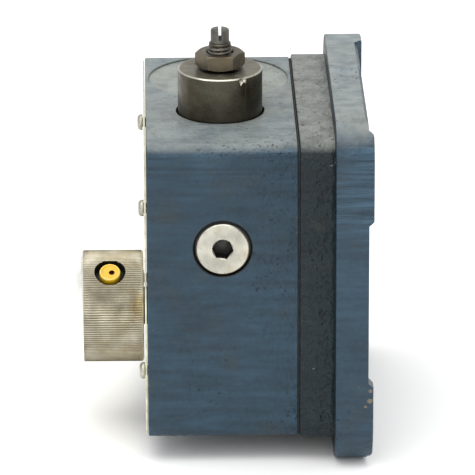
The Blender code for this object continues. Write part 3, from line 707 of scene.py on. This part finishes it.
def hexagon(name, axis, centre, flats, low, high, chamfer, material, turn):
    """Hexagon with its corners chamfered at both ends by a turned envelope."""
    corner = flats / math.sqrt(3)
    obj = rod(name, axis, centre, corner, low, high, material, 6, turn)
    inner = flats / 2 + 0.05
    drop = (corner + 0.2 - inner) * chamfer
    envelope = lathe("t", axis, centre,
                     [(inner, low - 0.001), (corner + 0.2, low + drop),
                      (corner + 0.2, high - drop), (inner, high + 0.001)], material)
    return carve(obj, [("INTERSECT", envelope)], 20)


def nut_and_stud():
    low, high = NUT_Z
    nut = hexagon("hex_nut", Z, OUTPUT, NUT_FLATS, low, high, 0.55, NUT, 0.0)
    bore = [(5.7, low - 0.8), (5.2, low + 0.6), (5.2, high - 0.7), (5.9, high + 0.5)]
    carve(nut, [("DIFFERENCE", lathe("t", Z, OUTPUT, bore, STUD, segments=64))], 20)
    finish(nut, "output", "plated_steel", "lock_nut")
    washer = [(5.3, 148.75), (6.3, 148.78), (6.5, 148.65), (6.5, 148.45), (6.3, 148.32),
              (5.3, 148.35)]
    finish(lathe("neck_washer", Z, OUTPUT, washer, RUBBER, closed=True, segments=64), "output",
           "black_rubber", "seal_washer")
    start, end = THREAD_Z
    steps = 8
    rows = int((end - start) / THREAD_PITCH * steps)
    profile = [(3.6, 121.2), (4.5, 122.0), (4.5, start - 0.3)]
    profile += [(STUD_RADIUS, start + i * THREAD_PITCH / steps) for i in range(rows + 1)]
    profile += [(4.2, end + 0.1), (4.3, end + 0.4), (4.35, end + 0.8), (4.15, end + 1.1),
                (TIP_RADIUS, end + 1.2), (TIP_RADIUS, STUD_TOP - 0.6), (3.5, STUD_TOP - 0.2),
                (3.2, STUD_TOP)]

    def thread(r, angle, h):
        if not start <= h <= end:
            return r
        phase = (h / THREAD_PITCH - angle / (2 * math.pi)) % 1.0
        crest = min(1.0, 1.25 * (1 - abs(2 * phase - 1)))
        fade = min(1.0, (end + 0.05 - h) / 0.9)
        return r - THREAD_DEPTH * (1 - crest) - 0.35 * (1 - fade)

    stud = lathe("slotted_stud", Z, OUTPUT, profile, STUD, segments=72, shape=thread, smooth=35)
    corner_points = []
    for half, height in ((0.55, STUD_TOP - 3.9), (0.6, STUD_TOP + 2)):
        front, back = OUTPUT.y - 6, OUTPUT.y + 6
        corner_points += [(-half, front, height), (half, front, height), (half, back, height),
                          (-half, back, height)]
    slot = prism("t", corner_points, SOCKET_SHADOW)
    finish(carve(stud, [("DIFFERENCE", slot)], 35), "output", "plated_steel", "draw_stud")


# ---------------------------------------------------------------- plugs

def plug_profile(shank, under, face, out):
    """Turned plug: shank, head and a face with fine concentric grooves."""
    profile = [(7.4, shank), (8.0, shank + out * 0.8), (8.0, under - out * 0.1),
               (10.1, under), (10.25, under + out * 0.2), (10.25, face - out * 0.45),
               (9.95, face - out * 0.1), (9.7, face)]
    radius = 9.5
    while radius > 0.6:
        profile += [(radius, face), (radius - 0.12, face - out * 0.05),
                    (radius - 0.26, face - out * 0.05), (radius - 0.34, face)]
        radius -= 0.48
    return profile


def plug(name, axis, centre, shank, under, face, node):
    out = 1 if face > shank else -1
    obj = lathe(name, axis, centre, plug_profile(shank, under, face, out), PLUG, smooth=20)
    socket = rod("t", axis, centre, 4.25, face - out * 5.5, face + out, SOCKET_SHADOW, 6, 0.14)
    flare = lathe("t", axis, centre, [(3.3, face - out * 0.9), (4.6, face + out * 0.4)], PLUG,
                  segments=48)
    finish(carve(obj, [("DIFFERENCE", socket), ("DIFFERENCE", flare)], 20), "root",
           "turned_aluminium", node)


def seal(name, axis, centre, low, high, node):
    middle = (low + high) / 2
    profile = [(8.5, high), (10.8, high), (11.05, high - 0.25), (11.1, middle),
               (11.05, low + 0.25), (10.8, low), (8.5, low)]
    finish(lathe(name, axis, centre, profile, RUBBER, closed=True), "root", "black_rubber", node)


def plugs():
    plug("level_plug_turned", Y, LEVEL, -50.0, -59.2, -61.1, "level_plug")
    seal("level_seal_ring", Y, LEVEL, -59.0, -57.5, "level_plug_seal")
    plug("fill_plug_turned", Z, FILL, 121.0, 131.5, 135.0, "fill_plug")
    seal("fill_seal_ring", Z, FILL, 129.9, 131.3, "fill_plug_seal")
    head = hexagon("drain_plug_hex", Z, DRAIN, 19.05, 0.0, 7.3, 0.5, SCREW, 0.0)
    shank = lathe("t", Z, DRAIN, [(8.0, 5.0), (8.0, 16.4), (7.4, 17.0)], SCREW, segments=64)
    finish(carve(head, [("UNION", shank)], 20), "root", "plated_steel", "drain_plug")
    seal("drain_seal_ring", Z, DRAIN, 7.6, 9.2, "drain_plug_seal")


# ---------------------------------------------------------------- parts kept from the frame

def kept_material(node):
    if "race" in node or "cage" in node or node.endswith("_key"):
        return BRIGHT
    if node.endswith("seal"):
        return RUBBER
    return DARK


def dress_kept():
    """Give every frame part that still shows a finished material."""
    for node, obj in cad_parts.items():
        obj.data.materials.clear()
        obj.data.materials.append(kept_material(node))


# ---------------------------------------------------------------- stage

def area(name, position, size, power, target=(0, 0, 0.07), colour=(1, 1, 1)):
    light = bpy.data.lights.new(name, "AREA")
    light.shape = "RECTANGLE"
    light.size, light.size_y = size
    light.energy = power
    light.color = colour
    obj = bpy.data.objects.new(name, light)
    obj.location = position
    obj.rotation_euler = (Vector(target) - Vector(position)).to_track_quat("-Z", "Y").to_euler()
    bpy.context.scene.collection.objects.link(obj)


def stage():
    bm = bmesh.new()
    bmesh.ops.create_grid(bm, x_segments=2, y_segments=2, size=6000)
    for vertex in bm.verts:
        vertex.co.z = -0.05
    shade = Shader("pale_floor", (0.93, 0.93, 0.92), 0.0, 0.8)
    shade.set("Base Color", shade.mix(shade.noise(4, 3.0), (0.925, 0.925, 0.92),
                                      (0.94, 0.94, 0.935)))
    to_object("studio_floor", bm, shade.mat)
    world = bpy.data.worlds.new("studio")
    world.use_nodes = True
    back = world.node_tree.nodes["Background"]
    back.inputs["Color"].default_value = (1.0, 1.0, 1.0, 1.0)
    back.inputs["Strength"].default_value = 0.85
    bpy.context.scene.world = world
    area("top_softbox", (-0.1, -0.2, 1.5), (1.6, 1.6), 20)
    area("front_soft", (-0.5, -1.8, 0.9), (1.8, 1.4), 9)
    area("upper_left", (-1.1, -0.6, 1.3), (1.2, 1.2), 2)


def camera():
    azimuth, elevation = math.radians(VIEW_AZIMUTH), math.radians(VIEW_ELEVATION)
    away = Vector((math.sin(azimuth) * math.cos(elevation),
                   -math.cos(azimuth) * math.cos(elevation), math.sin(elevation)))
    data = bpy.data.cameras.new("view")
    data.sensor_width = 36
    data.lens = VIEW_LENS
    data.clip_end = 50
    obj = bpy.data.objects.new("view", data)
    obj.location = VIEW_TARGET + away * VIEW_DISTANCE
    look = (-away).to_track_quat("-Z", "Y").to_matrix().to_4x4()
    roll = Matrix.Rotation(math.radians(VIEW_ROLL), 4, "Z")
    obj.rotation_euler = (look @ roll).to_euler()
    bpy.context.scene.collection.objects.link(obj)
    bpy.context.scene.camera = obj
    bpy.context.scene.view_settings.view_transform = "Standard"


dress_kept()
housing()
gasket()
flange()
cover()
flange_screws()
knob()
hub()
nut_and_stud()
plugs()
stage()
camera()
